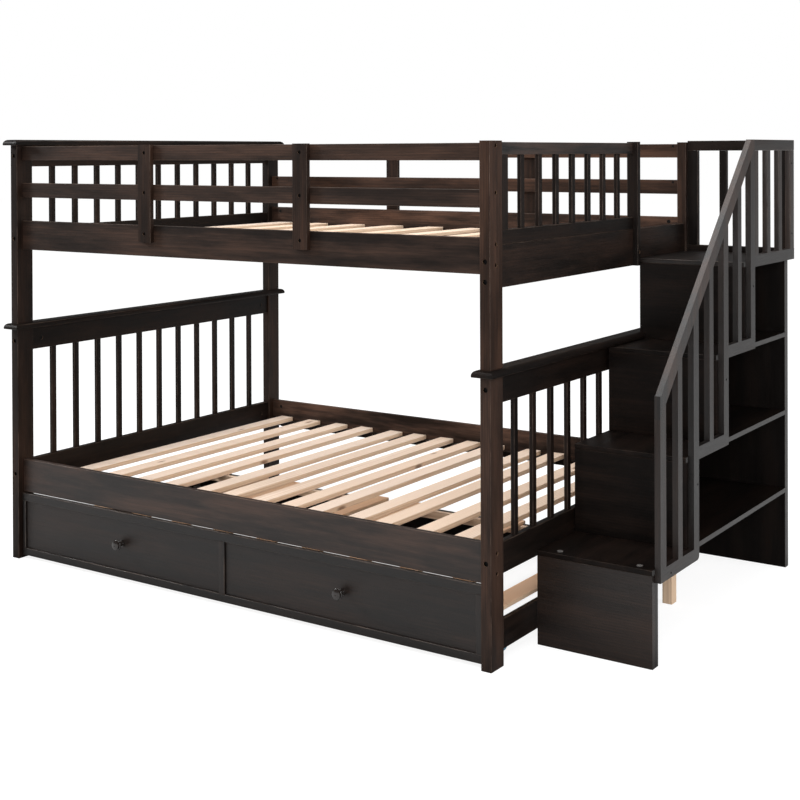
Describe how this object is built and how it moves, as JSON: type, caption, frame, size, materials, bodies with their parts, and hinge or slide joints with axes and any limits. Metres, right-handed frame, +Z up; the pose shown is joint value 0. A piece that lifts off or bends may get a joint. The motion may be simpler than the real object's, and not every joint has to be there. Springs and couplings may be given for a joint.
{
  "type": "bunk bed with trundle",
  "caption": "Wooden full-over-full bunk bed with a storage stair, railed landing and a roll-out trundle bed on casters.",
  "frame": {"origin": "centre of the bounding box's base, on the floor", "axes": "+X from the head end to the stair, -Y the front where the trundle rolls out, +Z up"},
  "size_m": [2.401, 1.52, 1.508],
  "materials": {
    "stained_wood": "satin dark brown stain",
    "raw_pine": "raw sanded pine",
    "dark_steel": "black oxide",
    "zinc_steel": "zinc plated",
    "dark_knob": "glossy dark brown",
    "blue_wheel": "moulded plastic"
  },
  "bodies": {
    "frame": {"lower_head_posts": "stained_wood", "lower_foot_posts": "stained_wood", "lower_head_cap": "stained_wood", "lower_foot_cap": "stained_wood", "lower_head_rails": "stained_wood", "lower_foot_rails": "stained_wood", "lower_head_slats": "stained_wood", "lower_foot_slats": "stained_wood", "lower_front_rail": "stained_wood", "lower_back_rail": "stained_wood", "slat_ledges": "stained_wood", "lower_mattress_slats": "raw_pine", "upper_head_posts": "stained_wood", "upper_foot_posts": "stained_wood", "upper_head_cap": "stained_wood", "upper_head_rails": "stained_wood", "upper_head_slats": "stained_wood", "foot_top_rail": "stained_wood", "foot_guard_rail": "stained_wood", "foot_end_board": "stained_wood", "foot_stile": "stained_wood", "foot_slats": "stained_wood", "foot_newel": "stained_wood", "upper_front_rail": "stained_wood", "upper_back_rail": "stained_wood", "front_guard_boards": "stained_wood", "back_guard_boards": "stained_wood", "guard_supports": "stained_wood", "upper_mattress_slats": "raw_pine", "stair_risers": "stained_wood", "first_tread": "stained_wood", "second_tread": "stained_wood", "third_tread": "stained_wood", "landing_board": "stained_wood", "stair_side_panels": "stained_wood", "stair_back_panel": "stained_wood", "stair_framing": "stained_wood", "stair_shelf_leg": "raw_pine", "handrail": "stained_wood", "rail_posts": "stained_wood", "rail_balusters": "stained_wood", "rail_soles": "stained_wood", "landing_fence_side": "stained_wood", "landing_fence_back": "stained_wood", "bed_bolts": "dark_steel", "barrel_nuts": "dark_steel", "joint_screws": "dark_steel", "stacking_pins": "dark_steel"},
    "trundle": {"trundle_front": "stained_wood", "trundle_back_board": "stained_wood", "trundle_end_boards": "stained_wood", "trundle_bearers": "raw_pine", "trundle_slats": "raw_pine", "trundle_knobs": "dark_knob", "caster_brackets": "zinc_steel", "caster_axles": "zinc_steel"},
    "wheel_1": {"caster_wheel_1": "blue_wheel"},
    "wheel_2": {"caster_wheel_2": "blue_wheel"},
    "wheel_3": {"caster_wheel_3": "blue_wheel"},
    "wheel_4": {"caster_wheel_4": "blue_wheel"}
  },
  "joints": [
    {"name": "trundle_slide", "type": "slide", "parent": "frame", "child": "trundle", "axis": [0, -1, 0], "range_m": [0, 1]},
    {"name": "wheel_1_spin", "type": "hinge", "parent": "trundle", "child": "wheel_1", "pos_m": [-1.117, -0.568, 0.025], "axis": [1, 0, 0], "continuous": true},
    {"name": "wheel_2_spin", "type": "hinge", "parent": "trundle", "child": "wheel_2", "pos_m": [0.752, -0.568, 0.025], "axis": [1, 0, 0], "continuous": true},
    {"name": "wheel_3_spin", "type": "hinge", "parent": "trundle", "child": "wheel_3", "pos_m": [-1.117, 0.175, 0.025], "axis": [1, 0, 0], "continuous": true},
    {"name": "wheel_4_spin", "type": "hinge", "parent": "trundle", "child": "wheel_4", "pos_m": [0.752, 0.175, 0.025], "axis": [1, 0, 0], "continuous": true}
  ]
}
